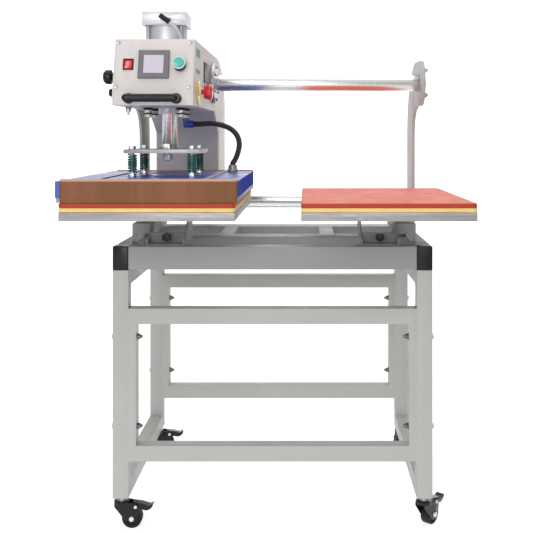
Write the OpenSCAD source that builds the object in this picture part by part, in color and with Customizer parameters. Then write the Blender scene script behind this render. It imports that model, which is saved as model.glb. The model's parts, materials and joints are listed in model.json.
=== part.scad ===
// Pneumatic double-station heat press with a side-shuttle head, on a wheeled tube stand.
// X runs to the right, Y away from the operator, Z up. Origin: floor, below the middle of the machine.

/* [Stand] */
// Width of the stand over its legs
stand_w = 827; // [800:1:840]
// Y of the stand's front face
stand_front = -167; // [-180:1:-150]
// Y of the stand's back face
stand_back = 426; // [410:1:440]
// Height of the table top above the floor
table_z = 732; // [730:1:734]
// Side of the square stand tube
tube = 40; // [36:1:44]
// Height of the table frame's rails
table_rail_h = 60; // [50:1:62]

/* [Platens] */
// Width of each lower platen
platen_w = 400; // [390:5:404]
// Depth of each lower platen
platen_d = 600; // [590:5:604]
// Distance of each station from the machine's middle
station_x = 275; // [274:1:280]
// Y of the middle of the platens
platen_y = -150; // [-152:1:-148]
// Height of the underside of the lower platens
platen_z = 824; // [822:1:826]
// Thickness of the aluminium lower platen
platen_t = 20; // [18:1:20]
// Thickness of the foam layer
foam_t = 10; // [8:1:10]
// Thickness of the silicone pad
pad_t = 11; // [8:1:11]

/* [Head] */
// Height of the heated platen's working face
head_z = 866; // [866:1:867]
// Width of the head's sheet-metal cover
cover_w = 413; // [408:1:414]
// Depth of the head's sheet-metal cover
cover_d = 610; // [608:1:614]
// Height of the cover's top above the floor
cover_top = 915; // [913:1:917]
// Radius of the piston rod
rod_r = 12.5; // [12:0.5:13]

/* [Carriage] */
// Width of the carriage box over its side plates
box_w = 190; // [184:1:192]
// Radius of the upper rail tube
upper_rail_r = 23; // [22:0.5:24]
// Radius of the lower rail
lower_rail_r = 24; // [22:0.5:25]
// Radius of the flanged bearings' flanges
flange_r = 57; // [56:1:60]

/* [Casters] */
// Radius of a caster wheel
wheel_r = 26; // [25:0.5:26]
// Directions in which the four casters trail: front left, front right, back left, back right
caster_dirs = [0, 50, 10, 255]; // [0:1:360]

/* [Hidden] */
$fn = 48;

// Stand
leg_x = stand_w / 2 - tube / 2;
leg_front_y = stand_front + tube / 2;
leg_back_y = stand_back - tube / 2;
leg_bottom = 80;
leg_top = table_z - table_rail_h - 2;
rail_z = table_z - table_rail_h;
ladder_low = 176;
ladder_high = 531;
upright_w = 20;
ladder_bolt_z = [262, 495];
inner_x = leg_x - tube / 2;
back_rail_w = 80;
mid_rail_y = 56;
cross_h = 40;
depth_bar_x = 148;
depth_bar_w = 42;

// Posts and rails
upper_y = 50;
upper_z = 1167;
lower_y = 290;
lower_z = 820;
post_x = 406;
post_t = 8;
post_front = 205;
post_back = 340;
post_arc_y = 120;
post_arc_z = 1013;
disc_r = 64;
disc_t = 3;
disc_bolt_r = 49;
end_bolt_r = 8;

// Table brackets
bracket_x = 280;
bracket_w = 100;
bracket_wall = 4;
bracket_front = -150;
bracket_back = 15;
bracket_bolt_y = -5;
knob_z = 752;

// Carriage
cx = -station_x;
side_t = 3;
sheet_t = 2.5;
half_box = box_w / 2;
nose_y = -372;
floor_z = 1090;
slope_z = 1126;
roof_y = -335;
roof_z = 1250;
slope_angle = atan((roof_y - nose_y) / (roof_z - slope_z));
column_y = 245;
column_back = 455;
column_bottom = 782;
box_profile = [
    [nose_y, floor_z], [nose_y, slope_z], [roof_y, roof_z], [240, roof_z], [378, 1214],
    [437, 1164], [column_back, 1120], [column_back, column_bottom], [column_y, column_bottom],
    [column_y, 1028], [144, 1078], [130, floor_z]
];

// Air cylinder
cyl_y = platen_y;
cap_w = 112;
bottom_cap_z = floor_z + sheet_t;
bottom_cap_h = 33;
top_cap_z = 1300;
top_cap_h = 34;
tie_pos = 42;
barrel_r = 52.5;

// Head
plate_z = 974;
plate_t = 10;
spring_x = 75;
spring_y = 82;
guide_pos = [11, 70];
guide_r = 5;
gland_pos = [-123.5, 80];
sheet_w = 401;
sheet_x = 5.5;
sheet_gap = 0.7;

// Panel devices: place across the panel and up its slope
rocker_at = [-60.5, 64];
screen_at = [0.4, 63];
button_at = [62, 61];
button_rim_h = 20;
stop_y = -273;
stop_z = 1126;
regulator_y = -300;
regulator_z = 1161;
plug_z = 1124;
elbow_z = 1052;

// Routes of the held hoses
conduit_r = 8.5;
conduit_route = [
    [-240, 115, elbow_z], [-222, 115, elbow_z], [-205, 114.5, 1053.5], [-182, 113, 1053.5], [-152, 110, 1047.5],
    [-128, 106, 1036], [-112, 101, 1018], [-106, 96, 998.5], [-107, 91, 979.5], [-112.5, 87, 960],
    [-118, 83.5, 948], [-122, 81, 941.5], [-123.5, 80, 937.5], [-123.5, 80, 925]
];
air_tube_r = 4;
air_route = [
    [-258, -222, 1305], [-250, -222, 1299], [-241, -219, 1288], [-233, -213, 1273],
    [-228, -207, 1256], [-227, -203, 1240], [-227, -202, 1225]
];

// Colours
grey_paint = [0.74, 0.73, 0.71];
cool_paint = [0.62, 0.63, 0.65];
dark_paint = [0.38, 0.38, 0.37];
black_plastic = [0.08, 0.08, 0.09];
bright_metal = [0.8, 0.8, 0.82];
steel = [0.6, 0.6, 0.62];
cover_blue = [0.27, 0.33, 0.69];

// ---------- shared shapes ----------

// Box given by its lowest and highest corners
module block(lo, hi) {
    translate(lo) cube(hi - lo);
}

// The same shape on the left and on the right
module both_sides() {
    children();
    mirror([1, 0, 0]) children();
}

// Cylinder along X, starting at x0
module rod_x(x0, y, z, r, len) {
    translate([x0, y, z]) rotate([0, 90, 0]) cylinder(h = len, r = r);
}

// Cylinder along Y, starting at y0
module rod_y(x, y0, z, r, len) {
    translate([x, y0, z]) rotate([-90, 0, 0]) cylinder(h = len, r = r);
}

// Hexagon prism along Z, measured across its flats
module hex(af, h) {
    cylinder(h = h, r = af / 2 / cos(30), $fn = 6);
}

// Flat outline given in the Y-Z plane, extruded along X from x0
module side_outline(x0, t) {
    translate([x0, 0, 0]) rotate([90, 0, 90]) linear_extrude(t) children();
}

// Square-on direction to the right of a run
function right_of(d) = [d[1], -d[0]];

// Point i of a folded line moved to the line's right side by t, with mitred corners
function folded_point(pts, i, t) =
    let (
        before = unit(pts[max(i, 1)] - pts[max(i, 1) - 1]),
        after = unit(pts[min(i + 1, len(pts) - 1)] - pts[min(i, len(pts) - 2)]),
        n1 = right_of(before),
        n2 = right_of(after)
    )
        pts[i] + t * (n1 + n2) / (1 + n1 * n2);

// Folded sheet that follows a line in the Y-Z plane and is thick towards the line's right side
module folded_sheet(pts, t, w) {
    side_outline(cx - w / 2, w)
        polygon(concat(pts, [for (i = [len(pts) - 1 : -1 : 0]) folded_point(pts, i, t)]));
}

// Frame of the sloped control panel: x across, y out of the panel's back, z up the slope
module on_panel(at) {
    translate([cx, nose_y, slope_z]) rotate([-slope_angle, 0, 0]) translate([at[0], 0, at[1]]) children();
}

// Unit vector
function unit(v) = v / norm(v);

// Direction of a route at point i
function heading(route, i) =
    i == 0 ? unit(route[1] - route[0])
    : i == len(route) - 1 ? unit(route[i] - route[i - 1])
    : unit(unit(route[i + 1] - route[i]) + unit(route[i] - route[i - 1]));

// Side vector square to a heading, kept near the reference direction
function side_of(h, ref) = unit(ref - (ref * h) * h);

// Round tube swept along a route as one closed solid
module swept_tube(route, r, sides, ref) {
    n = len(route);
    rings = [
        for (i = [0 : n - 1])
            let (h = heading(route, i), u = side_of(h, ref), v = cross(h, u))
                for (k = [0 : sides - 1])
                    route[i] + r * cos(360 * k / sides) * u + r * sin(360 * k / sides) * v
    ];
    walls = [
        for (i = [0 : n - 2], k = [0 : sides - 1])
            [i * sides + k, (i + 1) * sides + k, (i + 1) * sides + (k + 1) % sides, i * sides + (k + 1) % sides]
    ];
    first = [for (k = [0 : sides - 1]) k];
    last = [for (k = [sides - 1 : -1 : 0]) (n - 1) * sides + k];
    polyhedron(points = rings, faces = concat(walls, [first], [last]), convexity = 6);
}

// ---------- stand ----------

// Welded side frame: two legs with a rail at the top and one at the bottom
module side_frame() {
    x0 = -leg_x - tube / 2;
    x1 = -leg_x + tube / 2;
    difference() {
        union() {
            block([x0, stand_front, leg_bottom], [x1, stand_front + tube, leg_top]);
            block([x0, stand_back - tube, leg_bottom], [x1, stand_back, leg_top]);
            block([x0, stand_front, leg_bottom], [x1, stand_back, leg_bottom + tube]);
            block([x0, stand_front + tube, leg_top - tube], [x1, stand_back - tube, leg_top + 2]);
        }
        for (y = [leg_front_y, leg_back_y]) {
            translate([-leg_x, y, leg_bottom - 1]) cylinder(h = 60, r = 6.1);
            for (z = ladder_bolt_z) rod_x(x0 - 1, y, z, 4.25, tube + 2);
        }
    }
}

module side_frames() {
    color(grey_paint) both_sides() side_frame();
}

// Ladder frame between two legs: two stretchers joined by a short upright at each end
module ladder_frame(y) {
    difference() {
        union() {
            for (z = [ladder_low, ladder_high])
                block([-inner_x, y - tube / 2, z], [inner_x, y + tube / 2, z + tube]);
            both_sides()
                block([-inner_x, y - tube / 2, ladder_low], [-inner_x + upright_w, y + tube / 2, ladder_high + tube]);
        }
        both_sides() for (z = ladder_bolt_z) rod_x(-inner_x - 1, y, z, 4.25, upright_w + 2);
    }
}

module ladder_frames() {
    color(grey_paint) {
        ladder_frame(leg_front_y);
        ladder_frame(leg_back_y);
    }
}

// Bolt through a leg and the ladder frame's upright, with its nut on the inside
module ladder_bolt(y, z) {
    x0 = -leg_x - tube / 2;
    translate([x0 - 5.3, y, z]) rotate([0, 90, 0]) {
        hex(13, 5.3);
        cylinder(h = 5.3 + tube + upright_w + 14, r = 4);
        translate([0, 0, 5.3 + tube + upright_w]) cylinder(h = 1.6, r = 8);
        translate([0, 0, 5.3 + tube + upright_w + 1.6]) hex(13, 6.5);
    }
}

// Threaded caster stem with its collar and the riveted swivel pin
module caster_stem() {
    translate([0, 0, leg_bottom]) cylinder(h = 50, r = 6);
    translate([0, 0, 72]) cylinder(h = leg_bottom - 72, r = 10);
    translate([0, 0, head_top + 0.3]) cylinder(h = 72 - head_top - 0.3, r = 13);
    translate([0, 0, head_low - 3]) cylinder(h = head_top - head_low + 4, r = 5);
    translate([0, 0, head_low - 3.5]) cylinder(h = 3.2, r = 8);
}

module stand_fasteners() {
    color(steel) {
        both_sides() for (y = [leg_front_y, leg_back_y], z = ladder_bolt_z) ladder_bolt(y, z);
        both_sides() for (y = [leg_front_y, leg_back_y]) translate([-leg_x, y, 0]) caster_stem();
        both_sides() for (a = [45 : 90 : 315])
            translate([-post_x - post_t - disc_t, upper_y, upper_z]) rotate([a, 0, 0]) translate([0, disc_bolt_r, 0])
                rotate([0, -90, 0]) {
                    hex(13, 7);
                    cylinder(h = 10, r = 4);
                }
        both_sides() translate([-post_x - post_t - disc_t, upper_y, upper_z]) rotate([0, -90, 0]) {
            translate([0, 0, -30]) cylinder(h = 31, r = end_bolt_r);
            hex(24, 8);
        }
        both_sides() for (s = [-1, 1])
            translate([bracket_x + s * (bracket_w / 2 - bracket_wall - 9), bracket_bolt_y, platen_z - 4]) {
                translate([0, 0, -8]) hex(11, 8);
                translate([0, 0, -1]) cylinder(h = 12, r = 3);
            }
    }
}

module table_frame() {
    color(cool_paint) {
        block([-inner_x, stand_front, rail_z], [inner_x, stand_front + tube, table_z]);
        block([-inner_x, stand_back - back_rail_w, rail_z], [inner_x, stand_back, table_z]);
        both_sides()
            block([-inner_x - tube, stand_front + tube, rail_z], [-inner_x, stand_back - tube, table_z]);
        block([-inner_x, mid_rail_y, table_z - cross_h], [inner_x, mid_rail_y + back_rail_w, table_z]);
        both_sides()
            block(
                [-depth_bar_x - depth_bar_w / 2, mid_rail_y + back_rail_w, table_z - cross_h],
                [-depth_bar_x + depth_bar_w / 2, stand_back - back_rail_w, table_z]
            );
    }
}

module corner_caps() {
    color(black_plastic) both_sides() for (y = [stand_front, stand_back - tube])
        block([-inner_x - tube - 0.5, y - (y < 0 ? 0.5 : 0), leg_top],
              [-inner_x, y + tube + (y < 0 ? 0 : 0.5), table_z + 0.5]);
}

// ---------- posts and rails ----------

// Curved post: an upright column that bends forward into a round head on the upper rail
module post() {
    difference() {
        side_outline(-post_x - post_t, post_t) difference() {
            union() {
                translate([post_front, table_z]) square([post_back - post_front, post_arc_z - table_z]);
                intersection() {
                    translate([post_arc_y, post_arc_z]) difference() {
                        circle(r = post_back - post_arc_y, $fn = 96);
                        circle(r = post_front - post_arc_y, $fn = 96);
                    }
                    translate([post_arc_y, post_arc_z]) square(300);
                }
                translate([upper_y, upper_z - disc_r]) square([post_arc_y - upper_y, 2 * disc_r]);
                translate([upper_y, upper_z]) circle(r = disc_r, $fn = 96);
            }
            translate([upper_y, upper_z]) circle(r = upper_rail_r + 0.2);
            translate([lower_y, lower_z]) circle(r = lower_rail_r + 0.2);
        }
    }
}

module left_post() {
    color(grey_paint) post();
}

module right_post() {
    color(grey_paint) mirror([1, 0, 0]) post();
}

// Angle foot that stands each post on the table
module post_feet() {
    color(grey_paint) both_sides() {
        block([-384, -60, table_z], [-371, post_back, 781]);
        block([-384, -60, 754], [-330, 200, 781]);
        block([-post_x, post_front, table_z], [-384, post_back, 781]);
    }
}

module rail_flanges() {
    color(bright_metal) both_sides() difference() {
        rod_x(-post_x - post_t - disc_t, upper_y, upper_z, disc_r, disc_t, $fn = 96);
        for (a = [45 : 90 : 315])
            translate([-post_x - post_t - disc_t - 1, upper_y, upper_z]) rotate([a, 0, 0])
                translate([0, disc_bolt_r, 0]) rotate([0, 90, 0]) cylinder(h = disc_t + 2, r = 4.2);
        rod_x(-post_x - post_t - disc_t - 1, upper_y, upper_z, end_bolt_r + 0.1, disc_t + 2);
    }
}

module upper_rail() {
    color(bright_metal) difference() {
        rod_x(-post_x - post_t, upper_y, upper_z, upper_rail_r, 2 * (post_x + post_t), $fn = 96);
        both_sides() rod_x(-post_x - post_t - 1, upper_y, upper_z, end_bolt_r + 0.1, 36);
    }
}

module lower_rail() {
    color(bright_metal) rod_x(-post_x - post_t, lower_y, lower_z, lower_rail_r, 2 * (post_x + post_t), $fn = 96);
}

// ---------- stations ----------

// Folded bracket: a channel on the table whose side walls slope up to carry the platen
module table_bracket() {
    low = table_z + 17;
    difference() {
        union() {
            for (s = [-1, 1])
                side_outline(bracket_x + s * (bracket_w / 2 - bracket_wall / 2) - bracket_wall / 2, bracket_wall)
                    polygon([
                        [bracket_front, table_z], [bracket_back, table_z], [bracket_back, platen_z - 4],
                        [-35, platen_z - 4], [-130, low], [bracket_front, low]
                    ]);
            block([bracket_x - bracket_w / 2, bracket_front, table_z],
                  [bracket_x + bracket_w / 2, bracket_back, table_z + 4]);
            block([bracket_x - bracket_w / 2, -35, platen_z - 4], [bracket_x + bracket_w / 2, 180, platen_z]);
            block([bracket_x - bracket_w / 2 + 2, -112, table_z + 2], [bracket_x + bracket_w / 2 - 2, -106, 762]);
        }
        rod_y(bracket_x, -114, knob_z, 4.05, 10);
        for (s = [-1, 1])
            translate([bracket_x + s * (bracket_w / 2 - bracket_wall - 9), bracket_bolt_y, platen_z - 5])
                cylinder(h = 6, r = 3.1);
    }
}

module table_brackets() {
    color(grey_paint) both_sides() table_bracket();
}

// One flat layer of a station
module layer(x, z, t) {
    block([x - platen_w / 2, platen_y - platen_d / 2, z], [x + platen_w / 2, platen_y + platen_d / 2, z + t]);
}

// Cast plate of a station, side -1 or 1, tapped for the bolts of its bracket
module platen(side) {
    color(bright_metal) difference() {
        layer(side * station_x, platen_z, platen_t);
        for (s = [-1, 1])
            translate([s * (bracket_w / 2 - bracket_wall - 9) + side * bracket_x, bracket_bolt_y, platen_z - 1])
                cylinder(h = 9, r = 3.1);
    }
}

module left_platen() {
    platen(-1);
}

module right_platen() {
    platen(1);
}

module left_foam() {
    color([0.93, 0.8, 0.45]) layer(-station_x, platen_z + platen_t, foam_t);
}

module right_foam() {
    color([0.93, 0.8, 0.45]) layer(station_x, platen_z + platen_t, foam_t);
}

module left_pad() {
    color([0.85, 0.4, 0.32]) layer(-station_x, platen_z + platen_t + foam_t, pad_t);
}

module right_pad() {
    color([0.85, 0.4, 0.32]) layer(station_x, platen_z + platen_t + foam_t, pad_t);
}

// Fluted knob on its clamping screw
module lock_knob(x) {
    color(black_plastic) {
        difference() {
            rod_y(x, -140, knob_z, 11, 14);
            for (a = [0 : 60 : 300])
                translate([x + 12 * cos(a), -141, knob_z + 12 * sin(a)]) rotate([-90, 0, 0])
                    cylinder(h = 16, r = 2.4, $fn = 24);
        }
        rod_y(x, -127, knob_z, 6, 14.6);
        rod_y(x, -126, knob_z, 4, 32);
    }
}

module left_lock_knob() {
    lock_knob(-bracket_x);
}

module right_lock_knob() {
    lock_knob(bracket_x);
}

// ---------- carriage ----------

module side_plates() {
    color(grey_paint) for (x0 = [cx - half_box, cx + half_box - side_t]) difference() {
        side_outline(x0, side_t) difference() {
            polygon(box_profile);
            translate([upper_y, upper_z]) circle(r = 36, $fn = 96);
            translate([lower_y, lower_z]) circle(r = 27, $fn = 96);
        }
        if (x0 > cx) rod_x(x0 - 1, stop_y, stop_z, 8.6, side_t + 2);
        if (x0 < cx) {
            rod_x(x0 - 1, regulator_y, regulator_z, 11, side_t + 2);
            rod_x(x0 - 1, regulator_y + 60, regulator_z, 9.7, side_t + 2);
            rod_x(x0 - 1, regulator_y + 20, plug_z, 5, side_t + 2);
        }
    }
}

inner_w = box_w - 2 * side_t;

// Roof and back of the carriage, folded from one sheet, open around the cylinder
module top_cover() {
    color(grey_paint) difference() {
        union() {
            folded_sheet([
                [roof_y + 4, roof_z], [240, roof_z], [378, 1214], [437, 1164],
                [column_back, 1120], [column_back, column_bottom]
            ], sheet_t, inner_w);
            rod_y(cx, column_back - 20, 840, 13, 20);
        }
        block([cx - 60, cyl_y - 60, roof_z - 10], [cx + 60, cyl_y + 60, roof_z + 10]);
        rod_y(cx, column_back - 21, 840, 8, 22);
    }
}

// Arm floor, throat gusset and column front, folded from one sheet
module under_cover() {
    color(dark_paint) difference() {
        folded_sheet([
            [column_y, column_bottom], [column_y, 1028], [144, 1078], [130, floor_z], [nose_y + 4, floor_z]
        ], sheet_t, inner_w);
        translate([cx, cyl_y, floor_z - 1]) cylinder(h = 10, r = 23);
        for (x = [-1, 1], y = [-1, 1])
            translate([cx + x * tie_pos, cyl_y + y * tie_pos, floor_z - 1]) cylinder(h = 10, r = 5.2);
        translate([cx + guide_pos[0], cyl_y + guide_pos[1], floor_z - 1]) cylinder(h = 10, r = guide_r + 0.05);
    }
}

// Nose strip and sloped control panel, folded from one sheet
module front_panel() {
    color(grey_paint) difference() {
        folded_sheet([[nose_y, floor_z], [nose_y, slope_z], [roof_y, roof_z]], sheet_t, inner_w);
        on_panel(rocker_at) block([-10.3, -5, -11.8], [10.3, 10, 11.8]);
        on_panel(button_at) rotate([-90, 0, 0]) translate([0, 0, -5]) cylinder(h = 15, r = 11.2);
    }
}

// Flanged linear bearing housings on the two rails
module rail_bushes() {
    color(steel) {
        difference() {
            union() {
                rod_x(cx - half_box - 12, upper_y, upper_z, flange_r, 12, $fn = 96);
                rod_x(cx + half_box, upper_y, upper_z, flange_r, 12, $fn = 96);
                rod_x(cx - half_box - 6, upper_y, upper_z, 35, box_w + 12, $fn = 96);
            }
            rod_x(cx - half_box - 13, upper_y, upper_z, upper_rail_r + 0.05, box_w + 26, $fn = 96);
        }
        difference() {
            rod_x(cx - half_box + side_t, lower_y, lower_z, 33, inner_w, $fn = 96);
            rod_x(cx - half_box, lower_y, lower_z, lower_rail_r + 0.05, box_w, $fn = 96);
        }
    }
}

module cylinder_barrel() {
    z0 = bottom_cap_z + bottom_cap_h;
    color([0.78, 0.78, 0.8]) translate([cx, cyl_y, z0]) difference() {
        cylinder(h = top_cap_z - z0, r = barrel_r, $fn = 96);
        translate([0, 0, -1]) cylinder(h = top_cap_z - z0 + 2, r = barrel_r - 3, $fn = 96);
    }
}

// Square cylinder cap with four tie-rod holes
module cap(z, h) {
    difference() {
        block([cx - cap_w / 2, cyl_y - cap_w / 2, z], [cx + cap_w / 2, cyl_y + cap_w / 2, z + h]);
        for (x = [-1, 1], y = [-1, 1])
            translate([cx + x * tie_pos, cyl_y + y * tie_pos, z - 1]) cylinder(h = h + 2, r = 5.2);
    }
}

module cylinder_caps() {
    color([0.86, 0.86, 0.88]) {
        difference() {
            cap(top_cap_z, top_cap_h);
            rod_y(cx + 14, cyl_y - cap_w / 2 - 1, top_cap_z + 15, 3, 14);
        }
        difference() {
            union() {
                cap(bottom_cap_z, bottom_cap_h);
                translate([cx, cyl_y, 1075]) cylinder(h = bottom_cap_z - 1075 + 1, r = 22);
            }
            translate([cx, cyl_y, 1070]) cylinder(h = 80, r = rod_r + 0.05);
        }
    }
}

// Tie rods with their nuts, bearing flange bolts and panel screws
module carriage_fasteners() {
    color(steel) {
        for (x = [-1, 1], y = [-1, 1]) translate([cx + x * tie_pos, cyl_y + y * tie_pos, 0]) {
            translate([0, 0, 1065]) cylinder(h = top_cap_z + top_cap_h - 1065 - 2, r = 5);
            translate([0, 0, 1066]) hex(17, 7);
            translate([0, 0, 1073]) cylinder(h = 3, r = 12);
            translate([0, 0, 1076]) hex(17, 8);
            translate([0, 0, 1084]) cylinder(h = floor_z - 1084, r = 12);
        }
        for (a = [30 : 60 : 330], s = [-1, 1])
            translate([cx + s * (half_box + 12), upper_y, upper_z]) rotate([a, 0, 0]) translate([0, 46, 0])
                rotate([0, s * 90, 0]) hex(9, 5);
        for (x = [-86, 86], z = [7, 120]) on_panel([x, z]) rotate([90, 0, 0]) cylinder(h = 2.2, r = 4);
    }
}

// Regulator body, port, plug, drain valve, cylinder elbow and the conduit's elbow
module air_fittings() {
    left = cx - half_box;
    color(steel) {
        difference() {
            union() {
                block([left + 6, regulator_y - 20, regulator_z - 24], [left + 46, regulator_y + 80, regulator_z + 24]);
                rod_x(left - 14, regulator_y, regulator_z, 10.5, 22);
                rod_x(left - 26, regulator_y, regulator_z, 6, 14);
                rod_x(left - 12, regulator_y + 60, regulator_z, 9.5, 20);
            }
            rod_x(left - 13, regulator_y + 60, regulator_z, 5.9, 13);
        }
        rod_x(left - 8, regulator_y + 20, plug_z, 12, 8);
        rod_x(left - 1, regulator_y + 20, plug_z, 4.8, 8);
        translate([left + 14, -250, 1078]) cylinder(h = floor_z - 1078, r = 7);
        translate([left + 14, -250, 1070]) cylinder(h = 9, r = 3);
        rod_y(cx - 1, cyl_y - cap_w / 2 - 14, top_cap_z + 18, 6, 14);
        translate([cx - 1, cyl_y - cap_w / 2 - 16, top_cap_z + 18]) rotate([0, 126, 0])
            translate([0, 0, -8]) cylinder(h = 30, r = 6.5);
        translate([cx + 13, 115, elbow_z - 6]) cylinder(h = floor_z - elbow_z + 6, r = 10);
        rod_x(cx + 8, 115, elbow_z, 10.5, 27);
    }
}

module air_tube() {
    color([0.85, 0.88, 0.92]) swept_tube(air_route, air_tube_r, 8, [0, 1, 0]);
}

module conduit() {
    color(black_plastic) swept_tube(conduit_route, conduit_r, 10, [0, 1, 0]);
}

// Bezel of the touch screen with the recess that its glass sits in
module touch_screen() {
    color([0.7, 0.7, 0.73]) on_panel(screen_at) difference() {
        block([-36.5, -8, -35], [36.5, 0, 35]);
        block([-24, -9, -23.2], [24, -6.5, 23.2]);
    }
}

// Rocker bezel, start button ring, stop button ring and the vent on the right side
module switch_bodies() {
    right = cx + half_box;
    color([0.12, 0.12, 0.13]) {
        on_panel(rocker_at) difference() {
            union() {
                block([-12.5, -2.5, -14], [12.5, 0, 14]);
                block([-10, -1, -11.5], [10, 18, 11.5]);
            }
            block([-9, -3, -10.6], [9, 16, 10.6]);
        }
        on_panel(button_at) rotate([90, 0, 0]) difference() {
            union() {
                cylinder(h = button_rim_h, r = 14.5);
                translate([0, 0, -22]) cylinder(h = 23, r = 11);
            }
            translate([0, 0, -20]) cylinder(h = button_rim_h + 30, r = 8.05);
            translate([0, 0, button_rim_h - 5]) cylinder(h = 10, r = 12.6);
        }
        difference() {
            union() {
                rod_x(right, stop_y, stop_z, 30, 4, $fn = 96);
                rod_x(right + 3, stop_y, stop_z, 10.5, 6);
                rod_x(right - 20, stop_y, stop_z, 8.5, 22);
            }
            rod_x(right - 21, stop_y, stop_z, 6.05, 30);
        }
        block([right, -150, 1158], [right + 3, -30, 1211]);
    }
}

// U handle with round ends, standing proud of the nose
module pull_handle() {
    bar_y = nose_y - 36;
    color(black_plastic) {
        rod_x(cx - 56, bar_y, 1106, 9.5, 112);
        for (x = [-56, 56]) {
            rod_y(cx + x, bar_y, 1106, 9.5, 36);
            translate([cx + x, bar_y, 1106]) sphere(r = 9.5);
            rod_y(cx + x, nose_y - 5, 1106, 12.5, 5);
        }
    }
}

// Valve block in the arm and power supply in the column
module control_gear() {
    color([0.35, 0.36, 0.4]) {
        block([cx - 60, -45, 1100], [cx + 10, 0, 1130]);
        block([cx - 60, 345, 900], [cx + 60, 430, 1080]);
    }
}

// Rocker cap on its pivot pin, drawn with its lower half pressed in
module power_rocker() {
    color([0.85, 0.1, 0.1]) on_panel(rocker_at) translate([0, 3, 0]) {
        rotate([6, 0, 0]) rotate([90, 0, 90]) translate([0, 0, -8.7]) linear_extrude(17.4)
            polygon([[4, -7], [-5.5, -9.6], [-4, 0], [-5.5, 9.6], [4, 7]]);
        rod_x(-8.95, 0, 0, 1.5, 17.9);
    }
}

// Flat cap of the start button on its stem
module start_button() {
    color([0.1, 0.6, 0.5]) on_panel(button_at) rotate([90, 0, 0]) {
        translate([0, 0, -12]) cylinder(h = button_rim_h + 14, r = 8);
        translate([0, 0, button_rim_h - 1]) cylinder(h = 5, r = 12.5, $fn = 64);
    }
}

// Mushroom of the stop button on its stem
module stop_button() {
    right = cx + half_box;
    color([0.8, 0.1, 0.1]) {
        rod_x(right - 10, stop_y, stop_z, 6, 26);
        translate([right + 15.2, stop_y, stop_z]) rotate([0, 90, 0]) {
            cylinder(h = 13, r1 = 16, r2 = 19.5, $fn = 64);
            translate([0, 0, 13]) cylinder(h = 4, r = 19.5, $fn = 64);
            translate([0, 0, 17]) cylinder(h = 4, r1 = 19.5, r2 = 14, $fn = 64);
        }
    }
}

module regulator_knob() {
    left = cx - half_box;
    color(black_plastic) difference() {
        union() {
            rod_x(left - 30, regulator_y, regulator_z, 17.5, 13, $fn = 64);
            translate([left - 36, regulator_y, regulator_z]) rotate([0, 90, 0])
                cylinder(h = 6, r1 = 11.5, r2 = 17.5, $fn = 64);
        }
        rod_x(left - 28, regulator_y, regulator_z, 6.05, 20);
    }
}

// ---------- head ----------

// Piston rod with its piston and lower stud, and the guide rod beside it
module press_rods() {
    color(bright_metal) {
        translate([cx, cyl_y, 0]) {
            translate([0, 0, plate_z + plate_t]) cylinder(h = 1150 - plate_z - plate_t, r = rod_r);
            translate([0, 0, 1130]) cylinder(h = 30, r = barrel_r - 3.05, $fn = 96);
            translate([0, 0, 953]) cylinder(h = plate_z + plate_t - 953, r = 8);
        }
        translate([cx + guide_pos[0], cyl_y + guide_pos[1], plate_z + plate_t]) cylinder(h = 190, r = guide_r);
    }
}

module pressure_plate() {
    color(bright_metal) difference() {
        block([cx - 95, cyl_y - 94, plate_z], [cx + 95, cyl_y + 94, plate_z + plate_t]);
        translate([cx, cyl_y, plate_z - 1]) cylinder(h = plate_t + 2, r = 8.1);
        for (x = [-1, 1], y = [-1, 1])
            translate([cx + x * spring_x, cyl_y + y * spring_y, plate_z - 1]) cylinder(h = plate_t + 2, r = 5.3);
    }
}

// Die spring: a coil with closed ends
module spring(x, y) {
    turns = 7;
    steps = 12;
    low = cover_top + 11.5;
    high = plate_z - 2.2;
    route = [
        for (i = [0 : turns * steps])
            let (t = i / (turns * steps), a = 360 * turns * t)
                [x + 9.5 * cos(a), y + 9.5 * sin(a), low + (high - low) * t]
    ];
    swept_tube(route, 1.9, 6, [0, 0, 1]);
}

module springs() {
    color([0.1, 0.45, 0.38]) for (x = [-1, 1], y = [-1, 1])
        spring(cx + x * spring_x, cyl_y + y * spring_y);
}

// Spring bolts with their nuts, and the nuts that clamp the piston rod to the plate
module press_fasteners() {
    color(steel) {
        for (x = [-1, 1], y = [-1, 1]) translate([cx + x * spring_x, cyl_y + y * spring_y, 0]) {
            translate([0, 0, 896]) cylinder(h = plate_z + plate_t + 9 - 896, r = 5);
            translate([0, 0, plate_z + plate_t]) cylinder(h = 2, r = 10);
            translate([0, 0, plate_z + plate_t + 2]) hex(16, 7);
            translate([0, 0, cover_top]) hex(18, 9);
        }
        translate([cx, cyl_y, plate_z - 18]) difference() {
            union() {
                hex(30, 13.5);
                translate([0, 0, 13.5]) cylinder(h = 4.5, r = 17.5);
            }
            translate([0, 0, -1]) cylinder(h = 20, r = 8.1);
        }
        translate([cx, cyl_y, plate_z + plate_t]) difference() {
            cylinder(h = 13, r = 17, $fn = 6);
            translate([0, 0, -1]) cylinder(h = 15, r = rod_r + 0.1);
        }
    }
}

// Cast heating platen with its cast-in element
module heat_platen() {
    color(bright_metal) {
        block([cx - cover_w / 2 + 2, platen_y - cover_d / 2 + 2, head_z],
              [cx + cover_w / 2 - 2, platen_y + cover_d / 2 - 2, head_z + 11]);
        block([cx - cover_w / 2 + 4, platen_y - cover_d / 2 + 4, head_z + 10],
              [cx + cover_w / 2 - 4, platen_y + cover_d / 2 - 4, 896]);
    }
}

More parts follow.
